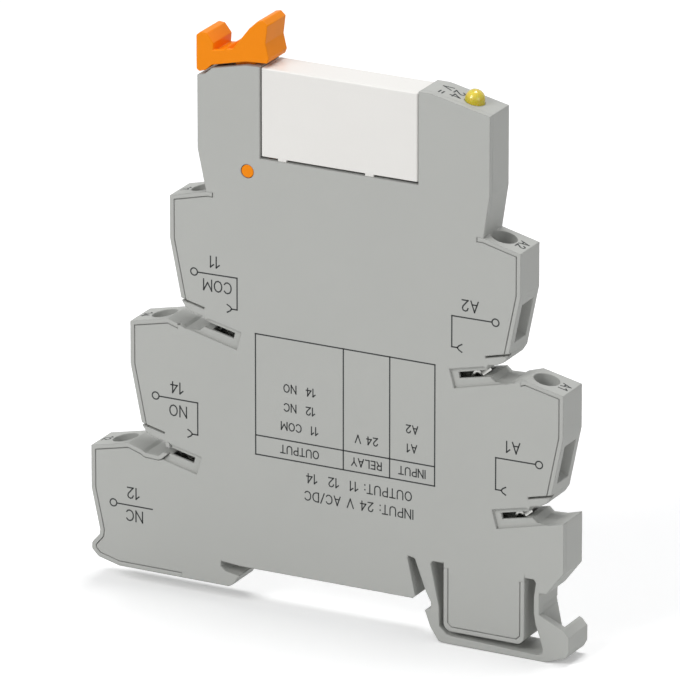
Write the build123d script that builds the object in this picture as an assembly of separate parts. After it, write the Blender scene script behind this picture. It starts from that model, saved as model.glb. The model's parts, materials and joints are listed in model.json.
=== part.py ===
from build123d import *
import math
import os

# Slim relay module that clips on a 35 mm rail.
# X runs along the 80 mm side, Y through the thickness (label face at -Y), Z up from the rail seat.

# Overall sizes
width = 6.2                 # thickness of the whole module, along Y
rail_width = 35.0
rail_sheet = 1.0
rail_play = 0.1             # free play at each edge of the rail
hook_reach = 3.1            # reach of the fixed hook under the rail's edge
hook_relief = 0.3           # the seat rises to the hook, so that the module can be tilted in
hook_bottom = 3.55
body_gap = 0.05             # gap between mating mouldings
parting = 0.12              # gap seen between the label plate and the rim

# Shells
plate = 0.9                 # label plate of the front shell
back_wall = 1.0
edge_wall = 1.2             # wall that follows the outline
rim = 0.65                  # strip of rear shell seen round the terminals
rim_end = 0.35
pocket_depth = 0.45
slit_width = 0.35
peg_size = 2.1
peg_play = 0.05
boss_size = 4.4
peg_top = 1.2               # end of the pegs, and start of the bosses, along Y
boss_low = -0.5
rest_size = 1.2
board_rest_size = 1.8

# Terminal levels
level_pitch = 20.9
base_level = 15.05          # top corner of the lowest terminal above the rail seat
left_reach = 39.5
left_step = 6.8
right_reach = 46.3
right_step = 7.1
terminal_tilt = 12.0        # degrees
terminal_depth = 16.1       # corner down to the end of the slanted face
terminal_upright = 6.7      # upright part of the end face
terminal_slant = 1.9
terminal_run = 6.3          # sloping top, corner to peak
terminal_rise = 1.4

# Screw and clamp, in the tilted frame of a terminal
screw_inset = 4.3
screw_hole = 4.0
screw_head = 3.8
screw_head_height = 1.7
screw_sink = 2.2            # head below the terminal's top
screw_shank = 2.9
screw_slot = 0.6
screw_slot_depth = 0.8
thread_play = 0.05
guide_depth = 4.3
guide_wall = 0.9
clamp_length = 5.2
clamp_side_play = 0.15
clamp_side = 0.5
clamp_plate = 1.2
clamp_floor = 1.0
clamp_window = 5.2
clamp_travel = 2.0
clamp_clear = 0.3
tongue_depth = 9.0
busbar_sheet = 0.8
busbar_wide = 2.5
tongue_tip = 2.1
tongue_run = 8.2

# Wire entry
funnel_depth = 11.25
funnel_tall = 6.4
funnel_wide = 3.9
funnel_end_tall = 4.4
funnel_end_wide = 3.0
funnel_block = 1.45

# Tower with relay well, lever channel and LED
lever_bed = 10.35           # tower side to relay well, left
led_bed = 11.65             # relay well to tower side, right
tower_flare = 6.65          # height from the tower's foot to its full width
foot_overlap = 0.2          # the tower's foot stands this far over the top terminal
tower_top = 79.1
cheek_rise = 0.2            # the cheek by the LED stands over the lever's side
cheek_flat = 2.1
led_slope = 2.1             # fall of the sloping top over the LED
channel_deep = 5.1
relay_length = 25.9
relay_tall = 14.15
relay_centre = 2.25
relay_sink = 0.05           # tower top down to the relay's top
relay_front = 0.1           # label face to relay face
relay_back = 0.2
relay_nub = 0.4
relay_play = 0.15
relay_wall = 0.6
led_inset = 4.0             # tower side to LED centre
led_size = 3.0
led_play = 0.05
led_rise = 0.4              # straight part of the LED over the sloping top
led_clear = 0.6             # circuit board to LED
led_lead = 0.5
led_lead_pitch = 1.8
led_drop = 2.2

# Ejector lever
pivot_inset = 2.09          # relay well to pivot
pivot_drop = 2.3            # well floor down to the pivot
journal_size = 2.05
journal_play = 0.065
lever_thick = 3.8
lever_play = 0.15
lever_head_thick = 6.0
lever_lip = 0.8
hub_size = 4.0
channel_wall = 0.9          # wall left of the lever's channel

# Rail foot
foot_bottom = 6.3
block_start = 2.1           # rail edge to the solid block inside the foot's loop
block_end = 13.3            # right reach in to the end of that block
block_bottom = 4.2
block_round = 1.3
root_reach = 3.9            # rail edge in to the recess for the foot's root
root_top = 9.15
heel_inset = 5.9            # right reach in to the heel
heel_root = 6.95
heel_web = 1.2

# Relay pins and the forks that grip them
pin_inset = 4.1             # relay's left end to its first pin
pin_pitch = 3.6
coil_pin_inset = 1.9        # relay's right end to its last pin
coil_pin_pitch = 3.8
pin_hole = 1.2
pin_thick = 0.5
pin_wide = 0.8
pin_reach = 3.2
pin_play = 0.04
fork_prong = 0.6
fork_tall = 3.6
fork_root = 0.9
fork_play = 0.1

# Relay works
base_tall = 1.4
yoke_sheet = 0.8
yoke_wide = 3.8
core_tall = 4.4
core_wide = 1.4
coil_start = 2.6            # last contact pin to the bobbin
coil_end = 2.0              # bobbin to the relay's right end
coil_under = 1.3            # relay floor up to the winding
coil_over = 3.45            # winding up to the relay's top
flange = 0.7
coil_wide = 4.1
tube_wall = 0.4
armature_sheet = 0.8
armature_gap = 0.45
core_proud = 0.05           # core's pole face past the flange's inner side
armature_drop = 2.45        # relay's top down to the armature's
card_drop = 3.85
card_tall = 0.8
card_bar = 0.45
card_overhang = 1.05        # card's left end past the first pin
contact_play = 0.04
spring_sheet = 0.25
contact_drop = 2.9          # card down to the contacts
contact_size = 1.3
contact_gap = 0.34
strip_sheet = 0.3
strip_wide = 2.0

# Circuit board
board_sheet = 0.6
board_back = 1.5
board_left = 4.0
board_inset = 10.6          # upper right terminal's end in to the board
board_bottom = 43.5
board_under_well = 2.3
board_tab_wide = 8.6
board_tab_gap = 5.5         # tower top down to the tab's end
board_tab_play = 0.4

# Bridge contacts
bridge_sheet = 0.35
bridge_wide = 2.8

# Values worked out from the sizes above
front = -width / 2
back = width / 2
plate_back = front + plate
wall_front = back - back_wall
tilt_cos = math.cos(math.radians(terminal_tilt))
tilt_sin = math.sin(math.radians(terminal_tilt))
clamp_wide = width - plate - back_wall - 2 * clamp_side_play
rail_edge = rail_width / 2 + rail_play
root_left = rail_edge - root_reach
block_left = rail_edge + block_start
block_right = right_reach - block_end
heel = right_reach - heel_inset

relay_left = relay_centre - relay_length / 2
relay_right = relay_centre + relay_length / 2
relay_top = tower_top - relay_sink
relay_face = front + relay_front
relay_rear = back - relay_back
well_left = relay_left - relay_play
well_right = relay_right + relay_play
well_floor = relay_top - relay_tall
tower_left = well_left - lever_bed
tower_right = well_right + led_bed
led_x = tower_right - led_inset
pivot_x = well_left - pivot_inset
pivot_z = well_floor - pivot_drop

pin_com = relay_left + pin_inset
pin_no = pin_com + pin_pitch
pin_nc = pin_no + pin_pitch
pin_coil_b = relay_right - coil_pin_inset
pin_coil_a = pin_coil_b - coil_pin_pitch
works_floor = well_floor + relay_nub + base_tall
coil_left = pin_nc + coil_start
coil_right = relay_right - coil_end
coil_low = works_floor + coil_under
coil_top = relay_top - coil_over
core_z = (coil_low + coil_top) / 2
card_z = relay_top - card_drop
contact_z = card_z - contact_drop
spring_x = pin_com - card_overhang + card_bar + contact_play + spring_sheet / 2
armature_right = coil_left - flange + core_proud - armature_gap

board_front = board_back - board_sheet
board_right = right_reach - 2 * right_step - board_inset
board_top = well_floor - board_under_well
board_tab_right = tower_right - edge_wall - board_tab_play
board_tab_left = board_tab_right - board_tab_wide
board_tab_top = tower_top - board_tab_gap
fork_top = well_floor - edge_wall - fork_play
fork_low = fork_top - fork_tall - fork_root / 2

left_levels = {"12": 0, "14": 1, "11": 2}
right_levels = {"a1": 1, "a2": 2}


def on_left(level, inward, up):
    """Point at a left terminal level, measured inward and up from its top corner."""
    return (-left_reach + left_step * level + inward, base_level + level_pitch * level + up)


def on_right(level, inward, up):
    """Point at a right terminal level, measured inward and up from its top corner."""
    return (right_reach - right_step * level - inward, base_level + level_pitch * level + up)


def slab(shape, y_low, y_high):
    """Stand a flat XZ shape between two Y positions."""
    return extrude(Plane.XZ.offset(-y_high) * shape, amount=y_high - y_low)


def block(x_low, x_high, y_low, y_high, z_low, z_high):
    """Box from its six limits."""
    box = Box(x_high - x_low, y_high - y_low, z_high - z_low)
    return Pos((x_low + x_high) / 2, (y_low + y_high) / 2, (z_low + z_high) / 2) * box


def flat(x_low, x_high, z_low, z_high):
    """Flat rectangle from its four limits."""
    return Pos((x_low + x_high) / 2, (z_low + z_high) / 2) * Rectangle(x_high - x_low, z_high - z_low)


def outline(points):
    """Flat shape inside a closed run of points."""
    return make_face(Polyline(*points, close=True))


def rounded(shape, corners, radius):
    """Round the corners of a flat shape that lie nearest to the given points."""
    picked = [min(shape.vertices(), key=lambda v: math.hypot(v.X - x, v.Y - z)) for x, z in corners]
    return fillet(picked, radius)


def strip(points, sheet, bend, y_low, y_high):
    """Bent metal strip that stands on edge along a route."""
    route = FilletPolyline(*points, radius=bend) if len(points) > 2 else Polyline(*points)
    return slab(trace(route, line_width=sheet), y_low, y_high)


def tilted_point(side, level, out, up):
    """Point in the row frame from a terminal's tilted frame."""
    corner = on_left(level, 0, 0) if side == "left" else on_right(level, 0, 0)
    reach = out * tilt_cos + up * tilt_sin
    x = corner[0] - reach if side == "left" else corner[0] + reach
    return (x, corner[1] - out * tilt_sin + up * tilt_cos)


def at_terminal(side, level, solid):
    """Carry a solid from a terminal's tilted frame to its level."""
    corner = on_left(level, 0, 0) if side == "left" else on_right(level, 0, 0)
    moved = Pos(abs(corner[0]), 0, corner[1]) * Rot(0, terminal_tilt, 0) * solid
    return mirror(moved, about=Plane.YZ) if side == "left" else moved


def flat_at_terminal(side, level, shape):
    """Carry a flat shape from a terminal's tilted frame to its level."""
    corner = on_left(level, 0, 0) if side == "left" else on_right(level, 0, 0)
    moved = Pos(abs(corner[0]), corner[1]) * Rot(0, 0, -terminal_tilt) * shape
    return mirror(moved, about=Plane.YZ) if side == "left" else moved


def terminals():
    """Every terminal as name, side and level."""
    found = [(name, "left", level) for name, level in left_levels.items()]
    return found + [(name, "right", level) for name, level in right_levels.items()]


# Outline of the body

def terminal_edge(place, level):
    """Edge of one terminal from its lower nub up to the peak of its sloping top."""
    steps = [
        (3.7, -terminal_depth - 1.7),
        (2.6, -terminal_depth - 1.1),
        (terminal_slant, -terminal_depth),
        (0, -terminal_upright),
        (0, 0),
        (terminal_run, terminal_rise),
    ]
    return [place(level, inward, up) for inward, up in steps]


def notch_edge(place, level):
    """Edge of the bridge funnel between a terminal and the one above it."""
    steps = [(8.7, 0.65), (9.2, 0.3), (11.4, 0.2), (12.4, 1.05), (12.7, 2.05), (12.4, 2.8)]
    return [place(level, inward, up) for inward, up in steps]


def hook_edge():
    """Edge of the fixed rail hook and the rounded lower left corner."""
    return [
        (-rail_edge + hook_reach + rail_play, 0),
        (-rail_edge, hook_relief),
        (-rail_edge, -0.6),
        (-rail_edge + 0.8, -rail_sheet - 0.27),
        (-rail_edge + hook_reach, -rail_sheet - 0.66),
        (-rail_edge + 2.1, -hook_bottom + 0.45),
        (-rail_edge + 1.4, -hook_bottom),
        (-left_reach + 4.6, -hook_bottom + 0.05),
        (-left_reach + 1.1, -hook_bottom + 0.95),
        (-left_reach, -hook_bottom + 2.05),
        (-left_reach, -hook_bottom + 3.05),
        (-left_reach + 1.3, 1.0),
        (-left_reach + 1.4, 1.8),
        (-left_reach, base_level - terminal_upright),
    ]


def tower_foot(place):
    """Point where the tower's side meets the top terminal's sloping top."""
    return place(2, terminal_run - foot_overlap, terminal_rise + 0.1)


def tower_edge():
    """Edge of the tower from the left foot over the lever bed, relay well and LED slope."""
    left_foot, right_foot = tower_foot(on_left), tower_foot(on_right)
    cheek_top = tower_top + cheek_rise
    return [
        left_foot,
        (tower_left, left_foot[1] + tower_flare),
        (tower_left, tower_top - 2.7),
        (tower_left + 1.3, tower_top - 2.35),
        (tower_left + 2.4, tower_top - 1.35),
        (tower_left + 8.0, tower_top - 0.1),
        (well_left, tower_top),
        (well_left, well_floor),
        (well_right, well_floor),
        (well_right, cheek_top),
        (well_right + cheek_flat, cheek_top),
        (tower_right, cheek_top - led_slope),
        (tower_right, right_foot[1] + tower_flare),
        right_foot,
    ]


def foot_recess_edge():
    """Edge of the rear shell round the roots of the spring foot, and the seat's right end."""
    return [
        (heel - 1.0, base_level + 0.95),
        (heel - 1.0, heel_root + 1.15),
        (heel - 1.85, heel_root),
        (block_right, heel_root),
        (block_right, -block_bottom),
        (block_left, -block_bottom),
        (block_left, root_top),
        (root_left, root_top),
        (root_left, 6.2),
        (root_left + 1.3, 0.4),
        (root_left + 0.9, 0),
    ]


def body_face():
    """Flat outline of the rear shell."""
    points = hook_edge()
    points += [on_left(0, 0, 0), on_left(0, terminal_run, terminal_rise)]
    for level in (0, 1):
        points += notch_edge(on_left, level)
        points += terminal_edge(on_left, level + 1)
    points = points[:-1] + tower_edge()
    for level in (2, 1):
        points += terminal_edge(on_right, level)[::-1][1 if level == 2 else 0:]
        points += notch_edge(on_right, level - 1)[::-1]
    points = points[:-1] + foot_recess_edge()
    shape = outline(points)
    corners = [(block_right, -block_bottom), (block_left, -block_bottom)]
    shape = rounded(shape, corners, block_round)
    lobe = [(0, 2.05), (0, 3.05), (1.1, 0.95)]
    return rounded(shape, [(-left_reach + inward, -hook_bottom + up) for inward, up in lobe], 0.6)


def foot_face():
    """Flat outline of the spring foot: catch, loop, heel and return strand."""
    catch = rail_edge
    root = root_top - body_gap
    strand = heel_root - 0.5
    points = [
        (root_left + body_gap, root),
        (root_left + body_gap, 6.6),
        (catch - 2.7, 6.4),
        (catch - 0.8, 1.4),
        (catch, -0.1),
        (catch, -rail_sheet - 0.1),
        (catch - 1.0, -rail_sheet - 0.55),
        (catch - 0.1, -foot_bottom + 2.3),
        (catch + 1.3, -foot_bottom + 0.2),
        (block_left + 0.6, -foot_bottom + 0.1),
        (heel - 3.8, -foot_bottom),
        (heel - 0.5, -foot_bottom + 1.2),
        (heel, -foot_bottom + 2.2),
        (heel, -1.8),
        (heel - 0.9, -0.8),
        (heel - 4.95, 1.0),
        (heel - 4.95, 4.4),
        (heel - 3.7, 4.5),
        (heel - 1.9, heel_root - body_gap),
        (block_right + body_gap, heel_root - body_gap),
        (block_right + body_gap, strand),
        (heel - 5.8, strand),
        (heel - 5.5, 5.9),
        (heel - 5.8, 3.5),
        (heel - 5.8, 1.2),
        (heel - 5.5, -0.6),
        (heel - 4.8, -2.5),
        (heel - 4.3, -foot_bottom + 2.0),
        (heel - 4.3, -foot_bottom + 1.3),
        (heel - 5.2, -foot_bottom + 0.9),
        (block_left + 1.3, -foot_bottom + 1.35),
        (block_left + 0.5, -foot_bottom + 1.55),
        (catch + 1.4, -foot_bottom + 2.6),
        (catch + 1.3, -0.6),
        (catch - 0.1, 6.0),
        (catch + 0.3, strand),
        (block_left - body_gap, strand),
        (block_left - body_gap, root),
    ]
    shape = outline(points)
    outside = [(heel - 0.9, -0.8), (heel, -foot_bottom + 2.2), (heel - 3.8, -foot_bottom)]
    shape = rounded(shape, outside + [(catch + 1.3, -foot_bottom + 0.2)], 0.5)
    inside = [(catch + 1.4, -foot_bottom + 2.6), (heel - 4.3, -foot_bottom + 1.3)]
    return rounded(shape, [(catch - 2.7, 6.4)] + inside, 0.4)


# Rear shell and front shell

def rim_zones():
    """Areas where the rear shell's rim stands round the label plate."""
    end = on_left(0, 15.3, 2.6)
    zones = [flat(-left_reach - 1, end[0], -hook_bottom - 1, end[1])]
    for place, level, reach in ((on_left, 1, 8.0), (on_left, 2, 7.0), (on_right, 1, 7.0), (on_right, 2, 7.2)):
        outer = place(level, -1, -terminal_depth - 0.3)
        inner = place(level, reach, 3) if level < 2 else (place(2, reach, 0)[0], tower_foot(place)[1])
        low, high = sorted((outer[0], inner[0]))
        zones += [flat(low, high, outer[1], inner[1])]
    return zones + [flat(block_left - 1, block_right + 1, -block_bottom - 1, 5.7)]


def rim_ends(strip_width):
    """Ends of the top rims, which run on a little way under the tower's sides."""
    ends = []
    for place in (on_left, on_right):
        x, z = tower_foot(place)
        inner = place(2, terminal_run - foot_overlap + rim_end + strip_width, 0)[0]
        ends += [flat(min(x, inner), max(x, inner), z - strip_width, z)]
    return ends


def root_fill():
    """Part of the label plate that runs on into the roots of the foot."""
    left = flat(root_left - body_gap, block_left + body_gap, 6.6, root_top + body_gap)
    return left + flat(block_right - body_gap, heel - 2.0, heel_root - 2 * body_gap, heel_root + body_gap)


def drawn_in(shape, distance):
    """Outline drawn in from its edge with straight sides, without the loops left where it is narrow."""
    faces = offset(shape, amount=-distance, kind=Kind.ARC).fix().faces()
    edges = max(faces, key=lambda face: face.area).outer_wire().order_edges()
    corners = []
    for edge, after in zip(edges, edges[1:] + edges[:1]):
        ends = [after @ 0, after @ 1]
        corners += [min((edge @ 0, edge @ 1), key=lambda end: min((end - other).length for other in ends))]
    return Sketch() + outline([(corner.X, corner.Y) for corner in corners])


def label_face(body, strip_width):
    """Flat outline of the label plate, set inside the rim where there is one."""
    ring = body - drawn_in(body, strip_width)
    shape = body + foot_face() + root_fill()
    for zone in rim_zones():
        shape -= ring & zone
    return shape - rim_ends(strip_width)


def slot_shapes(pocket):
    """The four bridge slots, or the shallow pockets round them."""
    shapes = []
    for place, level in ((on_left, 0), (on_left, 1), (on_right, 0), (on_right, 1)):
        if pocket:
            corners = [(7.9, 0.75), (17.9, -1.7), (18.7, 1.2), (13.2, 2.45)]
        else:
            corners = [(12.0, 0.95), (17.2, -0.15), (17.4, 0.8), (12.2, 2.0)]
        shapes += [outline([place(level, inward, up) for inward, up in corners])]
    return shapes


def slit_shapes():
    """Thin slits in the label face under four terminals."""
    shapes = []
    for place, level in ((on_left, 1), (on_left, 2), (on_right, 1), (on_right, 2)):
        ends = [place(level, 1.2, -15.8), place(level, 5.7, -16.9)]
        shapes += [trace(Polyline(*ends), line_width=slit_width)]
    return shapes


def boss_places():
    """Centres of the pegs that hold the two shells together."""
    places = [on_left(2, 13.9, -13.85), (8.0, 32.0), (-12.0, 4.6)]
    return places + [(rail_edge - 7.2, 6.0), ((block_left + block_right) / 2, 2.0)]


def cavity_face(body):
    """Flat outline of the hollow, less the solid parts round holes and funnels."""
    hollow = drawn_in(body, edge_wall)
    for name, side, level in terminals():
        guide_end = -screw_inset - screw_hole / 2 - guide_wall
        hollow -= flat_at_terminal(side, level, flat(guide_end, 4, -guide_depth, 3))
        low, high = -funnel_depth - funnel_tall / 2 - 1.45, -funnel_depth + funnel_tall / 2 + 1.05
        hollow -= flat_at_terminal(side, level, flat(-funnel_block, 4, low, high))
    return hollow


def funnel():
    """Tapered wire entry in the tilted frame of a terminal."""
    outer = Plane(origin=(1.9, 0, -funnel_depth), x_dir=(0, 1, 0), z_dir=(-1, 0, 0))
    inner = Plane(origin=(-funnel_block - 0.2, 0, -funnel_depth), x_dir=(0, 1, 0), z_dir=(-1, 0, 0))
    wide_end = outer * Rectangle(funnel_wide, funnel_tall)
    narrow_end = inner * Rectangle(funnel_end_wide, funnel_end_tall)
    return loft([wide_end.face(), narrow_end.face()])


def screw_guide():
    """Hole that leads the screwdriver to the screw."""
    return Pos(-screw_inset, 0, -guide_depth / 2) * Cylinder(screw_hole / 2, guide_depth + 4)


def pivot_bore():
    """Flat shape of the bore for the lever's journal."""
    return Pos(pivot_x, pivot_z) * Circle(journal_size / 2 + journal_play)


def rear_shell(body):
    """Tub that holds the works, with its terminals, rail hook and relay well."""
    cut_through = Sketch() + slot_shapes(False)
    ring = body - cavity_face(body) - cut_through
    lip = ring - label_face(body, rim) - slit_shapes()
    solid = slab(body - cut_through - pivot_bore(), wall_front, back)
    solid += slab(ring, plate_back, wall_front)
    solid += slab(lip, front, plate_back)
    for name, side, level in terminals():
        solid -= at_terminal(side, level, funnel())
        solid -= at_terminal(side, level, screw_guide())
    socket = Circle(boss_size / 2) - Circle(peg_size / 2 + peg_play)
    for x, z in boss_places():
        solid += slab(Pos(x, z) * socket, boss_low, wall_front)
    for x, z in busbar_rests():
        solid += slab(Pos(x, z) * Rectangle(rest_size, rest_size), busbar_wide / 2, wall_front)
    for x, z in board_rests():
        solid += slab(Pos(x, z) * Rectangle(board_rest_size, board_rest_size), board_back, wall_front)
    channel_end = well_left - edge_wall
    channel = flat(tower_left + channel_wall, channel_end, tower_top - channel_deep, tower_top + 2)
    toe_slot = flat(channel_end - 0.1, well_left + 2.8, well_floor - 2.0, well_floor + 1.3)
    solid -= slab(channel + toe_slot, -lever_thick / 2 - lever_play, wall_front)
    for x in (pin_com, pin_no, pin_nc, pin_coil_a, pin_coil_b):
        hole = flat(x - pin_hole / 2, x + pin_hole / 2, well_floor - 2 * edge_wall, well_floor + 1)
        solid -= slab(hole, -pin_wide, pin_wide)
    return solid - Pos(led_x, 0, tower_top) * Cylinder(led_size / 2 + led_play, 4 * led_size)


def front_shell(body):
    """Label plate with the spring foot moulded on, and the pegs behind it."""
    foot = foot_face()
    face = label_face(body, rim + parting) - slot_shapes(False) - slit_shapes() - pivot_bore()
    solid = slab(face, front + pocket_depth, plate_back)
    solid += slab(face - slot_shapes(True), front, front + pocket_depth)
    solid += slab(foot, front, back)
    steps = [(5.1, 2.0), (4.05, -3.2), (3.7, -3.6), (3.0, -3.6), (1.4, -1.3), (0.9, 2.0)]
    pocket = outline([(heel - inward, z) for inward, z in steps])
    solid -= slab(pocket, front + heel_web, back + 1)
    for x, z in boss_places():
        solid += slab(Pos(x, z) * Circle(peg_size / 2), plate_back, peg_top)
    return solid


# Ejector lever and LED

def lever_head_face():
    """Flat outline of the lever's head, with tooth, marker groove and thumb rest."""
    tooth = [(-0.25, -1.85), (0.2, -2.2), (1.3, -1.85), (2.3, -0.9)]
    thumb = [
        (-2.35, 0.45),
        (1.15, 0.65),
        (1.45, 1.4),
        (0.9, 3.7),
        (1.25, 6.5),
        (0.45, 7.2),
        (-0.35, 7.0),
        (-1.75, 5.7),
        (-4.75, 1.85),
        (-5.25, 1.4),
    ]
    groove = [(4.7, 2.2), (4.0, 1.3), (2.5, 1.1), (2.6, 2.5), (1.5, 3.9), (0.5, 4.0), (-0.25, 3.4)]
    points = [(tower_left + x, tower_top + z) for x, z in tooth]
    points += [(well_left + x, tower_top + z) for x, z in thumb]
    points += [(tower_left + x, tower_top + z) for x, z in groove]
    tip = [(well_left + x, tower_top + z) for x, z in thumb[4:7]]
    return rounded(outline(points), tip, 0.3)


def lever_arm_face():
    """Flat outline of the arm, the hub and the toe under the relay."""
    arm = outline([
        (pivot_x - 2.56, tower_top + 0.3),
        (pivot_x - 1.66, pivot_z),
        (pivot_x + 0.74, pivot_z),
        (pivot_x + 0.74, tower_top + 0.9),
    ])
    steps = [(-2.35, -4.0), (2.15, -1.2), (2.45, -0.5), (2.25, 0.3), (1.25, 0.3), (-1.15, -1.3)]
    toe = outline([(well_left + x, well_floor + z) for x, z in steps])
    return arm + toe + Pos(pivot_x, pivot_z) * Circle(hub_size / 2)


def ejector_lever():
    """Lever that holds the relay down and lifts it out."""
    head = slab(lever_head_face(), -lever_head_thick / 2, lever_head_thick / 2)
    steps = [(2.45, 0.9), (9.2, 0.9), (8.8, 2.6), (2.5, 1.4)]
    lip = outline([(tower_left + x, tower_top + z) for x, z in steps])
    head += slab(lip, -lever_head_thick / 2, -lever_head_thick / 2 + lever_lip)
    solid = head + slab(lever_arm_face(), -lever_thick / 2, lever_thick / 2)
    journal = Pos(pivot_x, pivot_z) * Circle(journal_size / 2)
    return solid + slab(journal, front + body_gap, back - body_gap)


def led_surface():
    """Height of the sloping top over the LED."""
    slope_start = well_right + cheek_flat
    return tower_top + cheek_rise - led_slope * (led_x - slope_start) / (tower_right - slope_start)


def status_led():
    """Round LED with its dome just above the sloping top and its two leads."""
    surface = led_surface() + led_rise
    radius = led_size / 2
    bottom = board_tab_top + led_clear
    solid = Pos(led_x, 0, (surface + bottom) / 2) * Cylinder(radius, surface - bottom)
    solid += Pos(led_x, 0, surface) * Sphere(radius)
    half = led_lead / 2
    for x in (led_x - led_lead_pitch / 2, led_x + led_lead_pitch / 2):
        solid += block(x - half, x + half, -half, half, bottom - led_drop, bottom + 0.1)
        solid += block(x - half, x + half, -half, board_front, bottom - led_drop, bottom - led_drop + led_lead)
    return solid


# Terminals

def terminal_screw():
    """Slotted clamp screw in the tilted frame of a terminal."""
    head_low = -screw_sink - screw_head_height
    tip = -tongue_depth + busbar_sheet / 2 + thread_play
    head = Pos(0, 0, (head_low - screw_sink) / 2) * Cylinder(screw_head / 2, screw_head_height)
    head = chamfer(head.edges().sort_by(Axis.Z)[-1], 0.2)
    head -= block(-screw_head, screw_head, -screw_slot / 2, screw_slot / 2, -screw_sink - screw_slot_depth, 0)
    shank = Pos(0, 0, (tip + head_low) / 2) * Cylinder(screw_shank / 2, head_low - tip + 0.02)
    return Pos(-screw_inset, 0, 0) * (head + shank)


def clamp_top():
    """Height of the open clamp's top, so that it just clears the guide when closed."""
    return -guide_depth - clamp_clear - clamp_travel


def terminal_clamp():
    """Clamp cage that the screw draws up against the busbar."""
    top = clamp_top()
    window_top = top - clamp_plate
    floor = window_top - clamp_window
    low, high = -screw_inset - clamp_length / 2, -screw_inset + clamp_length / 2
    solid = block(low, high, -clamp_wide / 2, clamp_wide / 2, floor - clamp_floor, top)
    solid = chamfer(solid.edges().filter_by(Axis.X), 0.4)
    window_half = clamp_wide / 2 - clamp_side
    solid -= block(low - 1, high + 1, -window_half, window_half, floor, window_top)
    hole = Cylinder(screw_shank / 2 + thread_play, clamp_plate + 1)
    return solid - Pos(-screw_inset, 0, top - clamp_plate / 2) * hole


def tongue_points(side, level):
    """Start of a busbar: its tongue through the clamp."""
    ends = [(-tongue_tip, -tongue_depth), (-tongue_run, -tongue_depth)]
    return [tilted_point(side, level, out, up) for out, up in ends]


def busbar_route(name):
    """Route of each busbar from its clamp to the relay socket or the board."""
    side = "left" if name in left_levels else "right"
    level = left_levels[name] if name in left_levels else right_levels[name]
    tongue = tongue_points(side, level)
    x, z = tongue[-1]
    if name == "11":
        return tongue + [(x + 3.0, z + 0.7), (pin_com, fork_low - 5.05), (pin_com, fork_low)]
    if name == "14":
        return tongue + [(x + 5.4, z + 1.45), (pin_no, z + 12.15), (pin_no, fork_low)]
    if name == "12":
        bends = [(x + 9.6, z + 2.35), (pin_nc - 5.6, z + 5.65), (pin_nc, z + 11.55)]
        return tongue + bends + [(pin_nc, fork_low)]
    if name == "a1":
        riser = board_right - 2.9
        return tongue + [(x - 6.3, z + 1.65), (riser, z + 6.05), (riser, board_bottom + 2)]
    return [tongue[0], tilted_point(side, level, -tongue_run - 1.95, -tongue_depth)]


def fork(x, y_low, y_high):
    """Two prongs that grip a relay pin."""
    inner = pin_thick / 2 + pin_play
    outer = inner + fork_prong
    shape = flat(x - outer, x + outer, fork_low - fork_root / 2, fork_low + fork_root / 2)
    for side in (-1, 1):
        low, high = sorted((x + side * inner, x + side * outer))
        shape += flat(low, high, fork_low, fork_top)
    return slab(shape, y_low, y_high)


def busbar(name):
    """Strip from a terminal clamp to the relay socket or the board."""
    half = busbar_wide / 2
    rear = half if name in left_levels else board_front
    solid = strip(busbar_route(name), busbar_sheet, 0.9, -half, rear)
    pins = {"11": pin_com, "14": pin_no, "12": pin_nc}
    if name in pins:
        solid += fork(pins[name], -half, half)
    return solid


def busbar_rests():
    """Posts of the rear shell under the busbars' edges."""
    rests = [tilted_point("left", level, -tongue_run - 1.55, -tongue_depth) for level in range(3)]
    return rests + [(pin_com, fork_low - 3.0), (pin_no, fork_low - 9.5), (pin_nc, fork_low - 19.5)]


def board_rests():
    """Posts of the rear shell behind the circuit board."""
    low, high = board_bottom + 2.0, board_top - 1.6
    beside = [(board_left + 2, low), (board_left + 2, high), (board_right - 2, low)]
    return beside + [(board_tab_left + 1.7, board_tab_top - 2.1)]


def bridge_route(place, level, foot):
    """Route of a bridge spring: foot, riser and the crest in the slot."""
    steps = [(18.6, 0.2), (15.9, -0.35), (15.2, 0.95), (14.6, 0.95), (14.05, 0.3)]
    return foot + [place(level, inward, up) for inward, up in steps]


def height_on(route, x):
    """Height of a route's centre line at a place along X."""
    for (x0, z0), (x1, z1) in zip(route, route[1:]):
        if min(x0, x1) <= x <= max(x0, x1) and x0 != x1:
            return z0 + (z1 - z0) * (x - x0) / (x1 - x0)
    return route[0][1]


def bridge_contact(where):
    """Spring strip with a crest that stands in a bridge slot."""
    half = bridge_wide / 2
    if where == "right_lower":
        riser = board_right - 5.7
        foot = [(riser, board_bottom + 1.6), (riser, base_level + 6.95), on_right(0, 22.3, -2.05)]
        route = bridge_route(on_right, 0, foot)
        return strip(route, bridge_sheet, 0.25, -half, board_front)
    place, level, carrier = {
        "left_lower": (on_left, 0, "12"),
        "left_upper": (on_left, 1, "14"),
        "right_upper": (on_right, 1, "a1"),
    }[where]
    x = place(level, 18.6, 0)[0]
    foot = [(x, height_on(busbar_route(carrier), x) + busbar_sheet)]
    return strip(bridge_route(place, level, foot), bridge_sheet, 0.25, -half, half)


# Circuit board and its parts

def circuit_board():
    """Board with a tab that reaches up to the LED."""
    points = [
        (board_left, board_bottom),
        (board_right, board_bottom),
        (board_right, board_top - 3.5),
        (board_tab_right - 1.4, board_top),
        (board_tab_right, board_top + 3.9),
        (board_tab_right, board_tab_top),
        (board_tab_left, board_tab_top),
        (board_tab_left, board_top),
        (board_left, board_top),
    ]
    return slab(outline(points), board_front, board_back)


def board_rectifier():
    """Rectifier block on the board."""
    left, low = board_left + 0.3, board_bottom + 6.0
    return block(left, left + 4.2, board_front - 2.3, board_front, low, low + 4.2)


def board_resistor():
    """Chip resistor on the board."""
    left, low = board_left + 8.2, board_bottom + 1.9
    return block(left, left + 3.2, board_front - 0.6, board_front, low, low + 1.6)


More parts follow.
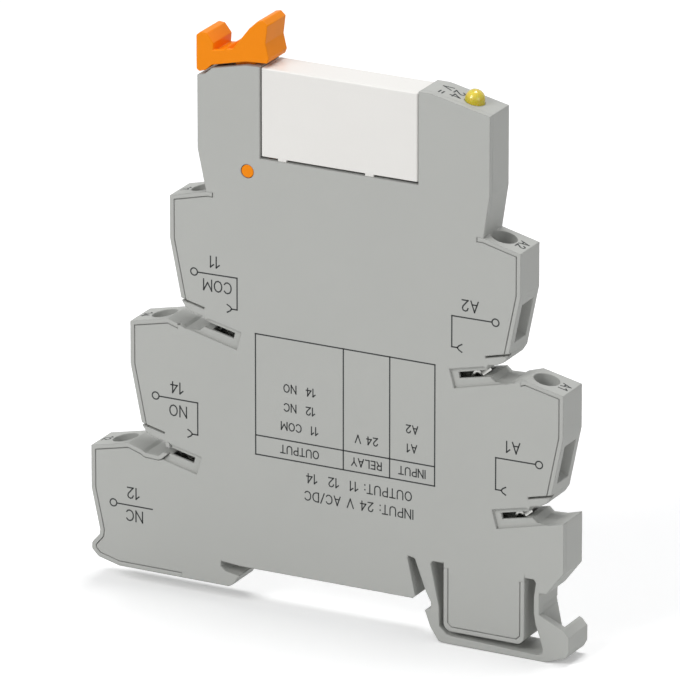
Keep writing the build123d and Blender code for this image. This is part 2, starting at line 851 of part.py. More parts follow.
def board_capacitor():
    """Capacitor that lies along the board."""
    return Pos(board_left + 5.0, board_front - 1.4, board_bottom + 3.7) * Rot(0, 90, 0) * Cylinder(1.4, 5.0)


def board_diode():
    """Diode across the coil."""
    left, low = board_left + 9.5, board_bottom + 4.4
    return block(left, left + 3.0, board_front - 1.4, board_front, low, low + 1.8)


def coil_socket(x):
    """Fork on the board for a coil pin."""
    return fork(x, -0.9, board_front)


# Relay

def relay_cover():
    """White cover of the relay, open below."""
    bottom = well_floor + relay_nub
    wall = relay_wall
    outer = block(relay_left, relay_right, relay_face, relay_rear, bottom, relay_top)
    outer = fillet(outer.edges().filter_by(Axis.Z), 0.4)
    outer = fillet(outer.faces().sort_by(Axis.Z)[-1].edges(), 0.3)
    skirt = block(relay_left + wall, relay_right - wall, relay_rear - wall, relay_rear, well_floor + 0.02, bottom)
    inner = block(
        relay_left + wall,
        relay_right - wall,
        relay_face + wall,
        relay_rear - wall,
        bottom - 1,
        relay_top - wall,
    )
    return outer + skirt - inner


def relay_base():
    """Base of the relay with the pin holes and two standing nubs."""
    gap = relay_wall + body_gap
    left, right = relay_left + gap, relay_right - gap
    y_low, y_high = relay_face + gap, relay_rear - gap
    bottom = well_floor + relay_nub
    solid = block(left, right, y_low, y_high, bottom, bottom + base_tall)
    for x in (relay_left + 2.8, relay_right - 8.0):
        solid += block(x - 0.5, x + 0.5, y_low, y_low + 1.6, well_floor + 0.02, bottom)
    for x in (pin_com, pin_no, pin_nc, pin_coil_a, pin_coil_b):
        solid -= block(x - 0.27, x + 0.27, -pin_wide / 2 - 0.02, pin_wide / 2 + 0.02, bottom - 1, bottom + 3)
    return solid


def pin(x, top):
    """Blade pin below the relay."""
    bottom = well_floor + relay_nub - pin_reach
    return block(x - pin_thick / 2, x + pin_thick / 2, -pin_wide / 2, pin_wide / 2, bottom, top)


def relay_yoke():
    """Bent iron frame under and behind the coil."""
    low = works_floor + 0.05
    right = coil_right + core_proud + yoke_sheet
    half = yoke_wide / 2
    solid = block(coil_left - flange, right, -half, half, low, low + yoke_sheet)
    solid += block(right - yoke_sheet, right, -half, half, low, core_z + core_tall / 2 + 1.0)
    for x in (pin_coil_a, pin_coil_b):
        solid -= block(x - 0.45, x + 0.45, -0.7, 0.7, low - 1, low + yoke_sheet)
    return solid


def relay_core():
    """Flat iron core through the bobbin."""
    half = core_tall / 2
    face = coil_left - flange + core_proud
    right = coil_right + core_proud
    return block(face, right, -core_wide / 2, core_wide / 2, core_z - half, core_z + half)


def relay_bobbin():
    """Bobbin with its two flanges."""
    tube = core_wide / 2 + 0.02 + tube_wall
    tall = core_tall / 2 + 0.02 + tube_wall
    solid = block(coil_left, coil_right, -tube, tube, core_z - tall, core_z + tall)
    for x in (coil_left, coil_right - flange):
        solid += block(x, x + flange, -2.15, 2.15, works_floor + 0.9, coil_top + 0.2)
    inner, inner_tall = core_wide / 2 + 0.02, core_tall / 2 + 0.02
    return solid - block(coil_left - 1, coil_right + 1, -inner, inner, core_z - inner_tall, core_z + inner_tall)


def relay_coil():
    """Copper winding, with rounded ends above and below."""
    tube = core_wide / 2 + 0.04 + tube_wall
    tall = core_tall / 2 + 0.04 + tube_wall
    section = RectangleRounded(coil_wide, coil_top - coil_low, 1.6) - Rectangle(2 * tube, 2 * tall)
    start = Plane(origin=(coil_left + flange + 0.02, 0, core_z), x_dir=(0, 1, 0), z_dir=(1, 0, 0))
    return extrude(start * section, amount=coil_right - coil_left - 2 * flange - 0.04)


def relay_armature():
    """Iron plate that the core pulls, narrower where the card goes round it."""
    right = armature_right
    low = works_floor + 0.08
    neck = card_z - card_tall
    solid = block(right - armature_sheet, right, -yoke_wide / 2, yoke_wide / 2, low, neck)
    return solid + block(right - armature_sheet, right, -1.2, 1.2, neck, relay_top - armature_drop)


def relay_card():
    """Plastic slide that carries the armature's stroke to the moving contact."""
    half = card_tall / 2
    low, high = pin_com - card_overhang, armature_right + contact_play + card_bar
    frame = flat(low, high, -1.85, 1.85) - flat(low + card_bar, high - card_bar, -1.35, 1.35)
    return extrude(Pos(0, 0, card_z - half) * frame, amount=card_tall)


def relay_contact_com():
    """Moving contact: a leaf with its rivet."""
    x = spring_x
    solid = block(x - spring_sheet / 2, x + spring_sheet / 2, -1.1, 1.1, works_floor + 0.3, card_z + 1.0)
    rivet = Rot(0, 90, 0) * Cylinder(contact_size / 2, spring_sheet + 0.7)
    return solid + Pos(x, 0, contact_z) * rivet


def relay_com_pin():
    """Fixed pin below the moving contact."""
    top = works_floor + 0.25
    x = spring_x
    solid = pin(pin_com, works_floor)
    return solid + block(x - spring_sheet / 2, pin_com + pin_thick / 2, -0.9, 0.9, works_floor, top)


def rivet_half():
    """Half the moving contact's length along X."""
    return (spring_sheet + 0.7) / 2


def relay_contact_no():
    """Normally open contact on its strip and pin."""
    rivet_left = spring_x + rivet_half() + contact_gap
    x = rivet_left + 0.6 + strip_sheet / 2
    floor = works_floor
    route = [(pin_no, floor - 0.2), (pin_no, floor + 1.6), (x, floor + 3.2), (x, contact_z + 1.0)]
    solid = strip(route, strip_sheet, 0.3, -strip_wide / 2, strip_wide / 2)
    solid = solid & block(relay_left, relay_right, relay_face, relay_rear, floor + 0.02, relay_top)
    solid += Pos(rivet_left + 0.35, 0, contact_z) * Rot(0, 90, 0) * Cylinder(contact_size / 2, 0.7)
    return solid + pin(pin_no, floor + 0.1)


def relay_contact_nc():
    """Normally closed contact on a strip that goes over the moving contact."""
    rivet_right = spring_x - rivet_half() - 0.02
    x = rivet_right - 0.8 - strip_sheet / 2
    floor = works_floor
    top = relay_top - relay_wall - 0.45
    route = [(pin_nc, floor - 0.2), (pin_nc, top), (x, top), (x, contact_z - 1.0)]
    solid = strip(route, strip_sheet, 0.5, -strip_wide / 2, strip_wide / 2)
    solid = solid & block(relay_left, relay_right, relay_face, relay_rear, floor + 0.02, relay_top)
    solid += Pos(rivet_right - 0.45, 0, contact_z) * Rot(0, 90, 0) * Cylinder(contact_size / 2, 0.9)
    return solid + pin(pin_nc, floor + 0.1)


def relay_coil_pins():
    """The coil's two pins."""
    return Compound(children=[pin(x, works_floor + 0.85) for x in (pin_coil_a, pin_coil_b)])


def build_parts():
    """Every piece by name."""
    body = body_face()
    parts = {
        "rear_shell": rear_shell(body),
        "front_shell": front_shell(body),
        "ejector_lever": ejector_lever(),
        "status_led": status_led(),
        "circuit_board": circuit_board(),
        "board_rectifier": board_rectifier(),
        "board_resistor": board_resistor(),
        "board_capacitor": board_capacitor(),
        "board_diode": board_diode(),
        "coil_socket_a": coil_socket(pin_coil_a),
        "coil_socket_b": coil_socket(pin_coil_b),
        "relay_cover": relay_cover(),
        "relay_base": relay_base(),
        "relay_yoke": relay_yoke(),
        "relay_core": relay_core(),
        "relay_bobbin": relay_bobbin(),
        "relay_coil": relay_coil(),
        "relay_armature": relay_armature(),
        "relay_card": relay_card(),
        "relay_contact_com": relay_contact_com(),
        "relay_com_pin": relay_com_pin(),
        "relay_contact_no": relay_contact_no(),
        "relay_contact_nc": relay_contact_nc(),
        "relay_coil_pins": relay_coil_pins(),
    }
    for name, side, level in terminals():
        parts["terminal_screw_" + name] = at_terminal(side, level, terminal_screw())
        parts["terminal_clamp_" + name] = at_terminal(side, level, terminal_clamp())
        parts["busbar_" + name] = busbar(name)
    for where in ("left_lower", "left_upper", "right_lower", "right_upper"):
        parts["bridge_contact_" + where] = bridge_contact(where)
    return parts


os.makedirs("parts", exist_ok=True)
for node, solid in build_parts().items():
    export_step(solid, "parts/" + node + ".step")
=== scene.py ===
import json
import math
import bmesh
import bpy
from mathutils import Matrix, Vector

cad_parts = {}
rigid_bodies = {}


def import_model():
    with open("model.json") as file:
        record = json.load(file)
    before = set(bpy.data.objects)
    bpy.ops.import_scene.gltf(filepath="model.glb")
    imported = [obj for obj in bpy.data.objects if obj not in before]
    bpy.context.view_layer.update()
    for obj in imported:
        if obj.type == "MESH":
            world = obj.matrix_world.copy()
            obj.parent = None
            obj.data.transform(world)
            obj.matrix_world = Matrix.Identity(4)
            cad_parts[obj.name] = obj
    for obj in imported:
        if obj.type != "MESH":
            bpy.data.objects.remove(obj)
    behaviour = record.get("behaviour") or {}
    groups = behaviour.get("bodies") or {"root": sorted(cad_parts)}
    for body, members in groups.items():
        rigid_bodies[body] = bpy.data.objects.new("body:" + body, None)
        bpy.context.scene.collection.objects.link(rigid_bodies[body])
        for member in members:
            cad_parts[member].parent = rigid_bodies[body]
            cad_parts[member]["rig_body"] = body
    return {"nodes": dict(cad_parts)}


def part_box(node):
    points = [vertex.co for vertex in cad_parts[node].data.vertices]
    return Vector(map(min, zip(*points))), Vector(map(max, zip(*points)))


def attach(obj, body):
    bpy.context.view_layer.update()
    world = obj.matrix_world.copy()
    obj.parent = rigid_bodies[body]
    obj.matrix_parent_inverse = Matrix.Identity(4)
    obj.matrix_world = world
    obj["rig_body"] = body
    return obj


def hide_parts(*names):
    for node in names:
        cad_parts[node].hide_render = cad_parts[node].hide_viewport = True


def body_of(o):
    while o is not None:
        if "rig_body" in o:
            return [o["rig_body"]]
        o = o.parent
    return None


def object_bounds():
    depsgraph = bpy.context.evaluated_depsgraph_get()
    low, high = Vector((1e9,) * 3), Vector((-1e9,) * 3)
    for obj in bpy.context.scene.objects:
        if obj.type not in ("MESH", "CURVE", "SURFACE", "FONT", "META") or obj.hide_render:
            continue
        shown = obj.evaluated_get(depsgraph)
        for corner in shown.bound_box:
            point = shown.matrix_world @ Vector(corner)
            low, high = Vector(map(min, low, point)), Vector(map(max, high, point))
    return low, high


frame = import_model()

scene = bpy.context.scene
nodes = frame["nodes"]
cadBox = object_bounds()
mm = 0.001
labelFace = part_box("front_shell")[0].y      # the side with the print
print("frame loaded:", len(nodes), "nodes")


# Small tools for materials

def tint(red, green, blue):
    # colour as read from a screen, turned into Blender's linear values
    parts = [c / 255 for c in (red, green, blue)]
    return tuple(c / 12.92 if c <= 0.04045 else ((c + 0.055) / 1.055) ** 2.4 for c in parts) + (1,)


class Wire:
    # wraps a socket, so that shader maths reads as plain sums
    def __init__(self, finish, socket):
        self.finish, self.socket = finish, socket

    def sums(self, operation, first, second):
        return self.finish.node("ShaderNodeMath", {"operation": operation}, {0: first, 1: second})

    def __add__(self, other):
        return self.sums("ADD", self, other)

    def __radd__(self, other):
        return self.sums("ADD", other, self)

    def __sub__(self, other):
        return self.sums("SUBTRACT", self, other)

    def __rsub__(self, other):
        return self.sums("SUBTRACT", other, self)

    def __mul__(self, other):
        return self.sums("MULTIPLY", self, other)

    def __rmul__(self, other):
        return self.sums("MULTIPLY", other, self)


class Finish:
    # one material with its principled shader
    def __init__(self, name, **fixed):
        self.material = bpy.data.materials.new(name)
        self.material.use_nodes = True
        self.tree = self.material.node_tree
        self.tree.nodes.clear()
        self.shader = self.tree.nodes.new("ShaderNodeBsdfPrincipled")
        output = self.tree.nodes.new("ShaderNodeOutputMaterial")
        self.tree.links.new(self.shader.outputs[0], output.inputs["Surface"])
        for socket, value in fixed.items():
            self.shader.inputs[socket].default_value = value

    def plug(self, socket, value):
        if isinstance(value, Wire):
            self.tree.links.new(value.socket, socket)
        else:
            socket.default_value = value

    def node(self, kind, settings=None, values=None, output=0):
        # settings are the node's own choices, values go to its sockets
        made = self.tree.nodes.new(kind)
        for name, value in (settings or {}).items():
            setattr(made, name, value)
        for name, value in (values or {}).items():
            self.plug(made.inputs[name], value)
        return Wire(self, made.outputs[output])

    def place(self):
        return self.node("ShaderNodeTexCoord", output="Object")

    def noise(self, size, detail, roughness=0.5, stretch=(1, 1, 1)):
        # size is that of one blotch, in metres
        spot = self.node("ShaderNodeVectorMath", {"operation": "MULTIPLY"}, {0: self.place(), 1: stretch})
        return self.node("ShaderNodeTexNoise", {}, {
            "Vector": spot, "Scale": 1 / size, "Detail": detail, "Roughness": roughness})

    def mix(self, factor, first, second):
        # the colour sockets of a Mix node are its seventh and eighth
        return self.node("ShaderNodeMix", {"data_type": "RGBA"}, {0: factor, 6: first, 7: second}, output=2)

    def spread(self, wire, low, high):
        return self.node("ShaderNodeMapRange", {"clamp": True}, {
            "Value": wire, "From Min": low, "From Max": high})

    def rounding(self, radius):
        # normals as if every edge had a small radius
        return self.node("ShaderNodeBevel", {"samples": 6}, {"Radius": radius})

    def bump(self, height, depth, strength, over=None):
        values = {"Strength": strength, "Distance": depth, "Height": height}
        if over:
            values["Normal"] = over
        return self.node("ShaderNodeBump", {}, values)

    def paint(self, socket, value):
        self.plug(self.shader.inputs[socket], value)


def shade(colour, gain):
    return tuple(min(1.0, c * gain) for c in colour[:3]) + (1,)


# Plastics and metals of the module

noiseMean = 0.5

# what all the plastics share; each one's own look may override it
plasticLook = {
    "ior": 1.46, "specular": 0.4,
    "cloudDetail": 3.0, "cloudRange": (0.35, 0.65),
    "grainDetail": 4.0, "grainRoughness": 0.6, "grainRange": (0.2, 0.8), "grainMix": 0.5, "grainShade": 0.97,
}


def mouldedPlastic(name, ownLook):
    # fine spark-eroded grain, a faint cloudiness and slightly polished patches
    look = dict(plasticLook, **ownLook)
    finish = Finish(name, **{"IOR": look["ior"], "Specular IOR Level": look["specular"]})
    cloud = finish.noise(look["cloudSize"], look["cloudDetail"])
    grain = finish.noise(look["grainSize"], look["grainDetail"], look["grainRoughness"])
    base, depth = look["colour"], look["cloudDepth"]
    soft = finish.mix(finish.spread(cloud, *look["cloudRange"]), shade(base, 1 - depth), shade(base, 1 + depth))
    speckle = finish.spread(grain, *look["grainRange"]) * look["grainMix"]
    finish.paint("Base Color", finish.mix(speckle, soft, shade(base, look["grainShade"])))
    finish.paint("Roughness", look["roughness"] + (cloud - noiseMean) * look["roughSpread"])
    edges = finish.rounding(look["edgeRadius"]) if "edgeRadius" in look else None
    finish.paint("Normal", finish.bump(grain, look["grainDepth"], look["grainStrength"], edges))
    return finish.material


def platedMetal(name, look):
    # drawn or stamped metal with faint lines along the strip and a dull bloom
    finish = Finish(name, **{"Metallic": 1.0})
    lines = finish.noise(look["lineSize"], look["lineDetail"], look["lineRoughness"], look["stretch"])
    bloom = finish.noise(look["bloomSize"], look["bloomDetail"])
    dull = shade(look["colour"], look["bloomShade"])
    finish.paint("Base Color", finish.mix(finish.spread(bloom, *look["bloomRange"]), look["colour"], dull))
    finish.paint("Roughness", look["roughness"] + (lines - noiseMean) * look["roughSpread"])
    finish.paint("Normal", finish.bump(lines, look["lineDepth"], look["lineStrength"]))
    return finish.material


housingLook = {
    "colour": tint(178, 179, 175), "roughness": 0.52, "roughSpread": 0.12,
    "cloudSize": 14 * mm, "cloudDepth": 0.012,
    "grainSize": 0.22 * mm, "grainDepth": 0.012 * mm, "grainStrength": 0.5,
    "edgeRadius": 0.3 * mm,
}
leverLook = {
    "colour": tint(243, 138, 0), "roughness": 0.4, "roughSpread": 0.1, "specular": 0.2,
    "cloudSize": 6 * mm, "cloudDepth": 0.02,
    "grainSize": 0.3 * mm, "grainDepth": 0.006 * mm, "grainStrength": 0.35,
}
coverLook = {
    "colour": tint(232, 230, 226), "roughness": 0.34, "roughSpread": 0.08, "specular": 0.5,
    "cloudSize": 9 * mm, "cloudDepth": 0.008,
    "grainSize": 0.25 * mm, "grainDepth": 0.004 * mm, "grainStrength": 0.3,
}
darkLook = {
    "colour": tint(42, 43, 44), "roughness": 0.5, "roughSpread": 0.1,
    "cloudSize": 3 * mm, "cloudDepth": 0.05,
    "grainSize": 0.15 * mm, "grainDepth": 0.006 * mm, "grainStrength": 0.4,
}
inkLook = {
    "colour": tint(54, 56, 56), "roughness": 0.55, "roughSpread": 0.1,
    "cloudSize": 1.5 * mm, "cloudDepth": 0.06,
    "grainSize": 0.12 * mm, "grainDepth": 0.003 * mm, "grainStrength": 0.3,
}
sleeveLook = dict(darkLook, colour=tint(34, 44, 92), roughness=0.3)
screwLook = {
    "colour": tint(186, 188, 190), "roughness": 0.32, "roughSpread": 0.18,
    "lineSize": 0.12 * mm, "lineDetail": 3.0, "lineRoughness": 0.6, "stretch": (1, 1, 6),
    "lineDepth": 0.008 * mm, "lineStrength": 0.5,
    "bloomSize": 1.2 * mm, "bloomDetail": 2.0, "bloomRange": (0.3, 0.7), "bloomShade": 0.82,
}
springLook = dict(screwLook, colour=tint(226, 226, 222), roughness=0.2, stretch=(8, 1, 8))
tinLook = dict(screwLook, colour=tint(206, 200, 186), roughness=0.3, stretch=(6, 1, 6))
brassLook = dict(screwLook, colour=tint(214, 180, 104), roughness=0.25)
ironLook = dict(screwLook, colour=tint(150, 151, 153), roughness=0.4)

housingGrey = mouldedPlastic("housingGrey", housingLook)
leverOrange = mouldedPlastic("leverOrange", leverLook)
relayWhite = mouldedPlastic("relayWhite", coverLook)
# black plastic of the small board parts and the bobbin; on the relay's base it is painted shade that keeps the
# gap under the cover dark
relayBlackAndGapShade = mouldedPlastic("relayBlackAndGapShade", darkLook)
printInk = mouldedPlastic("printInk", inkLook)
capacitorSleeve = mouldedPlastic("capacitorSleeve", sleeveLook)
screwZinc = platedMetal("screwZinc", screwLook)
springBright = platedMetal("springBright", springLook)
busbarTin = platedMetal("busbarTin", tinLook)
contactBrass = platedMetal("contactBrass", brassLook)
magnetIron = platedMetal("magnetIron", ironLook)


def lightPlastic():
    # tinted clear plastic of the light, with a paler core that shows through the dome
    look = {
        "colour": tint(200, 180, 20), "core": tint(226, 206, 60), "glow": 0.02,
        "swirlSize": 2.6 * mm, "swirlDetail": 1.0, "coreRange": (0.45, 0.75), "glowRange": (0.4, 0.8),
        "coat": 0.5, "coatSpread": 0.4,
    }
    finish = Finish("lightYellow", **{
        "Roughness": 0.16, "IOR": 1.5, "Subsurface Weight": 0.35, "Subsurface Scale": 0.0008,
        "Emission Strength": look["glow"], "Coat Roughness": 0.08})
    swirl = finish.noise(look["swirlSize"], look["swirlDetail"])
    for socket, limits in {"Base Color": look["coreRange"], "Emission Color": look["glowRange"]}.items():
        finish.paint(socket, finish.mix(finish.spread(swirl, *limits), look["colour"], look["core"]))
    finish.paint("Coat Weight", look["coat"] + (swirl - noiseMean) * look["coatSpread"])
    return finish.material


def boardLaminate():
    # green lacquer over glass weave
    look = {
        "colour": tint(24, 96, 48), "roughness": 0.3, "roughSpread": 0.15,
        "weaveSize": 0.35 * mm, "weaveDetail": 1.0, "stretch": 6,
        "weaveRange": (0.35, 0.65), "weaveShade": 0.8, "weaveDepth": 0.01 * mm, "weaveStrength": 0.5,
    }
    finish = Finish("boardLaminate", **{"IOR": 1.5})
    across = finish.noise(look["weaveSize"], look["weaveDetail"], stretch=(look["stretch"], 1, 1))
    along = finish.noise(look["weaveSize"], look["weaveDetail"], stretch=(1, 1, look["stretch"]))
    weave = (across + along) * 0.5
    dark = shade(look["colour"], look["weaveShade"])
    finish.paint("Base Color", finish.mix(finish.spread(weave, *look["weaveRange"]), dark, look["colour"]))
    finish.paint("Roughness", look["roughness"] + weave * look["roughSpread"])
    finish.paint("Normal", finish.bump(weave, look["weaveDepth"], look["weaveStrength"]))
    return finish.material


def coilWinding():
    # lines of enamelled copper wire round the bobbin, with painted shade darkening the grooves between the turns
    look = {
        "colour": tint(190, 92, 40), "groove": tint(90, 38, 18), "roughness": 0.45, "roughSpread": 0.2,
        "wire": 0.16 * mm, "wander": 0.4, "grooveDepth": 0.03 * mm, "grooveStrength": 0.8,
    }
    bandStep = 0.314      # a wave texture at scale 1 repeats after this many metres
    finish = Finish("coilWinding", **{"Metallic": 0.9})
    turns = finish.node("ShaderNodeTexWave", {"wave_type": "BANDS", "bands_direction": "X"}, {
        "Vector": finish.place(), "Scale": bandStep / look["wire"], "Distortion": look["wander"], "Detail": 1.0})
    # the darker colour between the turns is painted shade in the grooves
    finish.paint("Base Color", finish.mix(turns, look["groove"], look["colour"]))
    finish.paint("Roughness", look["roughness"] - turns * look["roughSpread"])
    finish.paint("Normal", finish.bump(turns, look["grooveDepth"], look["grooveStrength"]))
    return finish.material


lightYellow = lightPlastic()
boardGreen = boardLaminate()
coilCopper = coilWinding()
print("materials made:", len(bpy.data.materials))

wears = {
    "rear_shell": housingGrey, "front_shell": housingGrey, "ejector_lever": leverOrange,
    "status_led": lightYellow, "circuit_board": boardGreen, "board_rectifier": relayBlackAndGapShade,
    "board_resistor": relayBlackAndGapShade, "board_diode": relayBlackAndGapShade, "board_capacitor": capacitorSleeve,
    "coil_socket_a": busbarTin, "coil_socket_b": busbarTin, "relay_cover": relayWhite,
    # the relay's base wears the black only as painted shade in the gap under the cover
    "relay_base": relayBlackAndGapShade, "relay_yoke": magnetIron, "relay_core": magnetIron,
    "relay_bobbin": relayBlackAndGapShade, "relay_coil": coilCopper, "relay_armature": magnetIron,
    "relay_card": relayWhite, "relay_contact_com": contactBrass, "relay_com_pin": contactBrass,
    "relay_contact_no": contactBrass, "relay_contact_nc": contactBrass, "relay_coil_pins": busbarTin,
}
for node in nodes:
    if node.startswith(("terminal_screw", "terminal_clamp")):
        wears[node] = screwZinc
    elif node.startswith("busbar"):
        wears[node] = busbarTin
    elif node.startswith("bridge_contact"):
        wears[node] = springBright
for node, material in wears.items():
    nodes[node].data.materials.clear()
    nodes[node].data.materials.append(material)


# Moulded edges: the lever and the cover again, with the small radius that a moulding has

# angles in degrees: flat is merged, turn is rounded, sharp stays a hard edge on the other pieces
edgeRound = {"weld": 0.0005 * mm, "flat": 0.6, "turn": 20, "segments": 2, "faceWeight": 100, "sharp": 30}


def addPiece(name, mesh, body, material):
    piece = bpy.data.objects.new(name, mesh)
    scene.collection.objects.link(piece)
    mesh.materials.clear()
    mesh.materials.append(material)
    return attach(piece, body)


def softened(node, radius, raised=None):
    # flat faces first lose the triangles of the import, so that the round runs along whole edges
    work = bmesh.new()
    work.from_mesh(nodes[node].data)
    bmesh.ops.remove_doubles(work, verts=work.verts, dist=edgeRound["weld"])
    bmesh.ops.dissolve_limit(
        work, angle_limit=math.radians(edgeRound["flat"]), use_dissolve_boundaries=False,
        verts=work.verts, edges=work.edges)
    if raised:
        low = min(v.co.z for v in work.verts)
        for vertex in work.verts:
            if vertex.co.z < low + raised["band"]:
                vertex.co.z += raised["lift"]
    mesh = bpy.data.meshes.new(node + "_moulded")
    work.to_mesh(mesh)
    work.free()
    mesh.shade_smooth()
    body = body_of(nodes[node])[0]
    piece = addPiece(node + "_moulded", mesh, body, wears[node])
    rounding = piece.modifiers.new("rounding", "BEVEL")
    rounding.width = radius
    rounding.segments = edgeRound["segments"]
    rounding.limit_method = "ANGLE"
    rounding.angle_limit = math.radians(edgeRound["turn"])
    rounding.use_clamp_overlap = False
    rounding.harden_normals = False
    weights = piece.modifiers.new("weights", "WEIGHTED_NORMAL")
    weights.keep_sharp = True
    weights.weight = edgeRound["faceWeight"]
    graph = bpy.context.evaluated_depsgraph_get()
    finished = bpy.data.meshes.new_from_object(piece.evaluated_get(graph))
    piece.modifiers.clear()
    piece.data = finished
    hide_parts(node)


mouldedEdges = {
    "ejector_lever": {"radius": 0.15 * mm},
    # the cover's lower rim ends a little above the well, so that a dark line shows under it; the black base seen
    # through that line is painted shade
    "relay_cover": {"radius": 0.06 * mm, "raised": {"band": 0.05 * mm, "lift": 0.28 * mm}},
}
for node, look in mouldedEdges.items():
    softened(node, **look)
for node, item in nodes.items():
    if node not in mouldedEdges:
        item.data.shade_smooth()
        item.data.set_sharp_from_angle(angle=math.radians(edgeRound["sharp"]))


def coverFeet():
    # two small feet of the cover that cross the dark line and stand on the well's floor
    feet = {
        "x": {"left": -7.2 * mm, "right": 7.2 * mm}, "inset": 0.03 * mm, "foot": 0.01 * mm,
        "width": 1.35 * mm, "deep": 0.65 * mm, "high": 0.5 * mm,
    }
    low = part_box("relay_cover")[0]
    body = body_of(nodes["relay_cover"])[0]
    size = Vector((feet["width"], feet["deep"], feet["high"]))
    for side, x in feet["x"].items():
        work = bmesh.new()
        bmesh.ops.create_cube(work, size=1)
        spot = Vector((x, low.y + feet["inset"] + size.y / 2, low.z + feet["foot"] + size.z / 2))
        for vertex in work.verts:
            vertex.co = Vector(a * b for a, b in zip(vertex.co, size)) + spot
        mesh = bpy.data.meshes.new("cover_foot_" + side)
        work.to_mesh(mesh)
        work.free()
        addPiece("cover_foot_" + side, mesh, body, relayWhite)


coverFeet()
print("moulded edges made:", len(mouldedEdges))


# Print on the label face, upside down when the module stands on its foot

# the gap between letters is a share of their height, and the sharp corner is in degrees
ink = {
    "line": 0.22 * mm, "boldLine": 0.25 * mm, "fineLine": 0.2 * mm, "lift": 0.006 * mm,
    "letters": 1.9 * mm, "tableLetters": 1.4 * mm, "lineLetters": 1.6 * mm, "letterGap": 0.24,
    "circle": 1.35 * mm, "circleSteps": 28, "sharpCorner": 75,
}
labelTurn = Matrix(((-1, 0, 0), (0, 0, -1), (0, -1, 0))).transposed()

# letters as strokes on a height of one: the width of each, then its runs of points
bowl =[(0, 1), (0.34, 1), (0.5, 0.94), (0.57, 0.74), (0.5, 0.54), (0.34, 0.46), (0, 0.46)]
letters = {
    " ": (0.3, []),
    "1": (0.3, [[(0, 0.74), (0.3, 1), (0.3, 0)]]),
    "2": (0.58, [[(0.02, 0.74), (0.1, 0.93), (0.29, 1), (0.48, 0.93), (0.56, 0.76), (0.5, 0.56),
                  (0.02, 0), (0.58, 0)]]),
    "4": (0.64, [[(0.46, 0), (0.46, 1), (0, 0.27), (0.64, 0.27)]]),
    "A": (0.7, [[(0, 0), (0.35, 1), (0.7, 0)], [(0.12, 0.32), (0.58, 0.32)]]),
    "C": (0.66, [[(0.66, 0.82), (0.54, 0.96), (0.36, 1), (0.14, 0.91), (0.02, 0.7), (0, 0.5), (0.02, 0.3),
                  (0.14, 0.09), (0.36, 0), (0.54, 0.04), (0.66, 0.18)]]),
    "D": (0.66, [[(0, 0.5), (0, 1), (0.3, 1), (0.54, 0.89), (0.66, 0.64), (0.66, 0.36),
                  (0.54, 0.11), (0.3, 0), (0, 0), (0, 0.5)]]),
    "E": (0.52, [[(0.52, 1), (0, 1), (0, 0), (0.52, 0)], [(0, 0.52), (0.45, 0.52)]]),
    "I": (0.0, [[(0, 0), (0, 1)]]),
    "L": (0.5, [[(0, 1), (0, 0), (0.5, 0)]]),
    "M": (0.8, [[(0, 0), (0, 1), (0.4, 0.28), (0.8, 1), (0.8, 0)]]),
    "N": (0.66, [[(0, 0), (0, 1), (0.66, 0), (0.66, 1)]]),
    "O": (0.74, [[(0, 0.5), (0.03, 0.7), (0.15, 0.91), (0.37, 1), (0.59, 0.91), (0.71, 0.7), (0.74, 0.5),
                  (0.71, 0.3), (0.59, 0.09), (0.37, 0), (0.15, 0.09), (0.03, 0.3), (0, 0.5)]]),
    "P": (0.57, [[(0, 0)] + bowl]),
    "R": (0.6, [[(0, 0)] + bowl, [(0.32, 0.46), (0.6, 0)]]),
    "T": (0.62, [[(0, 1), (0.62, 1)], [(0.31, 1), (0.31, 0)]]),
    "U": (0.66, [[(0, 1), (0, 0.3), (0.09, 0.08), (0.33, 0), (0.57, 0.08), (0.66, 0.3), (0.66, 1)]]),
    "V": (0.72, [[(0, 1), (0.36, 0), (0.72, 1)]]),
    "Y": (0.66, [[(0, 1), (0.33, 0.48), (0.66, 1)], [(0.33, 0.48), (0.33, 0)]]),
    ":": (0.0, [[(0, 0.08), (0, 0.12)], [(0, 0.62), (0, 0.66)]]),
    "/": (0.4, [[(0, -0.05), (0.4, 1.05)]]),
    "=": (0.56, [[(0, 0.68), (0.56, 0.68)], [(0, 0.3), (0.56, 0.3)]]),
}


def ribbon(points, width):
    # the two sides of a line of this width, mitred at its corners
    points = [Vector(p) for p in points]
    closed = (points[0] - points[-1]).length < width * 1e-3
    runs = [(b - a).normalized() for a, b in zip(points, points[1:])]
    before = [runs[-1] if closed else runs[0]] + runs
    after = runs + [runs[0] if closed else runs[-1]]
    if not closed:
        points[0] -= runs[0] * width / 2
        points[-1] += runs[-1] * width / 2
    sides = []
    for point, a, b in zip(points, before, after):
        normal = Vector((-a.y - b.y, a.x + b.x))
        reach = width / normal.length
        sides.append((point + normal.normalized() * reach, point - normal.normalized() * reach))
    return sides


